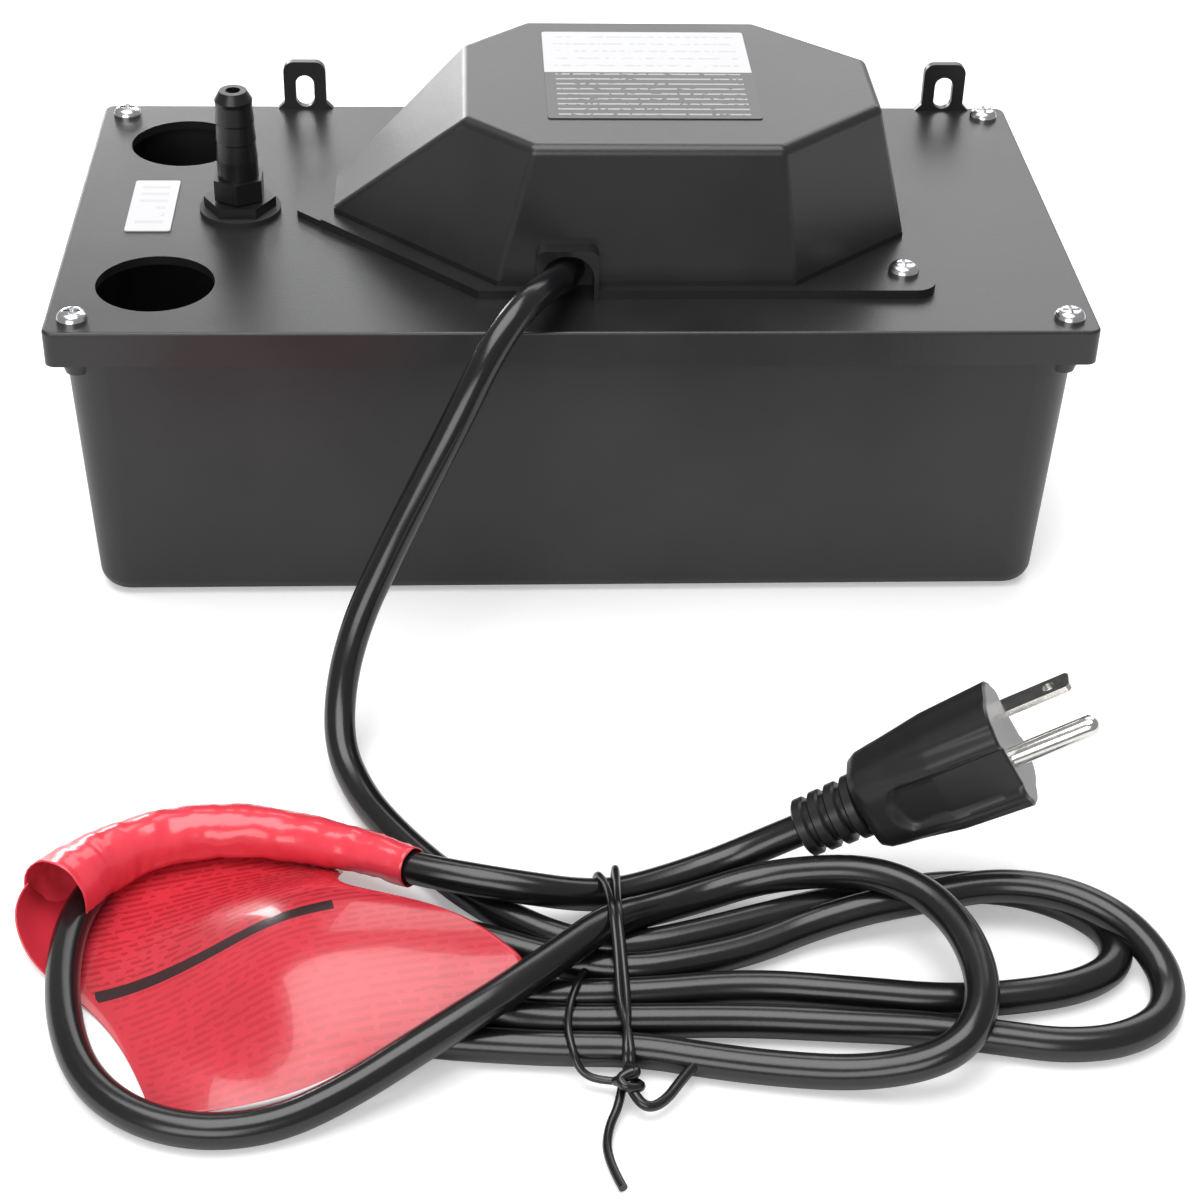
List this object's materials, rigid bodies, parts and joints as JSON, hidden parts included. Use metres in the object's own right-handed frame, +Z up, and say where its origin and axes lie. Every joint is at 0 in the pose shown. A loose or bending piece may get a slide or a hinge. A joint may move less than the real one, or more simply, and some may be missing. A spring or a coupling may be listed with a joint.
{
  "type": "condensate pump",
  "caption": "Condensate pump with lidded tank, moulded motor cover, check valve barb, float switch, impeller pump and tied supply cord with grounded plug.",
  "frame": {"origin": "centre of the tank's footprint, on the surface it stands on", "axes": "+X along the tank away from the inlet holes, +Y to the side with the hanger tabs, +Z up"},
  "size_m": [0.28, 0.3612, 0.1286],
  "materials": {
    "abs_black": "satin moulded ABS",
    "screw_zinc": "bright zinc plated",
    "lamination": "electrical steel",
    "coil_tape": "taped winding",
    "bracket_steel": "plated",
    "bronze": "sintered bronze",
    "fan_plastic": "moulded",
    "seal_rubber": "matt",
    "hose_vinyl": "clear vinyl",
    "float_foam": "closed-cell",
    "switch_plastic": "moulded",
    "label_film": "printed film",
    "cord_pvc": "glossy PVC",
    "tag_paper": "laminated paper",
    "plug_metal": "nickel plated"
  },
  "bodies": {
    "base": {"tank": "abs_black", "lid": "abs_black", "lid_screws": "screw_zinc", "motor_cover": "abs_black", "cover_screws": "screw_zinc", "stator_stack": "lamination", "motor_coil": "coil_tape", "lower_bracket": "bracket_steel", "upper_bracket": "bracket_steel", "motor_screws": "screw_zinc", "bearing_bushes": "bronze", "pump_column": "abs_black", "volute": "abs_black", "inlet_plate": "abs_black", "volute_screws": "screw_zinc", "discharge_hose": "hose_vinyl", "outlet_gasket": "seal_rubber", "check_valve_nut": "abs_black", "check_valve_body": "abs_black", "check_valve_seat": "abs_black", "float_guide": "fan_plastic", "lever_pin": "bracket_steel", "microswitch": "switch_plastic", "switch_bracket": "bracket_steel", "cord_clamp": "switch_plastic", "lead_wires": "cord_pvc", "lid_label": "label_film", "cover_label": "label_film", "power_cord_lead": "cord_pvc", "power_cord_hank": "cord_pvc", "power_cord_tail": "cord_pvc", "cord_tie": "cord_pvc", "cord_tag": "tag_paper", "plug_body": "cord_pvc", "plug_blades": "plug_metal", "ground_pin": "plug_metal"},
    "rotor_body": {"motor_shaft": "bracket_steel", "rotor": "lamination", "cooling_fan": "fan_plastic", "impeller": "fan_plastic"},
    "float_assembly": {"float": "float_foam", "float_rod": "bracket_steel"},
    "lever_body": {"switch_lever": "bracket_steel"},
    "button_body": {"switch_button": "fan_plastic"},
    "ball_body": {"check_valve_ball": "bracket_steel"}
  },
  "joints": [
    {"name": "rotor_spin", "type": "hinge", "parent": "base", "child": "rotor_body", "pos_m": [0.038, -0.003, 0.1], "axis": [0, 0, 1], "continuous": true},
    {"name": "float_travel", "type": "slide", "parent": "base", "child": "float_assembly", "axis": [0, 0, 1], "range_m": [0, 0.016]},
    {"name": "lever_tilt", "type": "hinge", "parent": "base", "child": "lever_body", "pos_m": [0.028, 0.031, 0.1045], "axis": [0, 1, 0], "range_deg": [0, 27]},
    {"name": "switch_button_travel", "type": "slide", "parent": "base", "child": "button_body", "axis": [0, 0, 1], "range_m": [0, 0.0028]},
    {"name": "valve_ball_lift", "type": "slide", "parent": "base", "child": "ball_body", "axis": [0, 0, 1], "range_m": [0, 0.003]}
  ],
  "couplings": [
    {"joint": "lever_tilt", "follows": "float_travel", "rad_per_m": 29.45},
    {"joint": "switch_button_travel", "follows": "float_travel", "ratio": 0.1749}
  ]
}
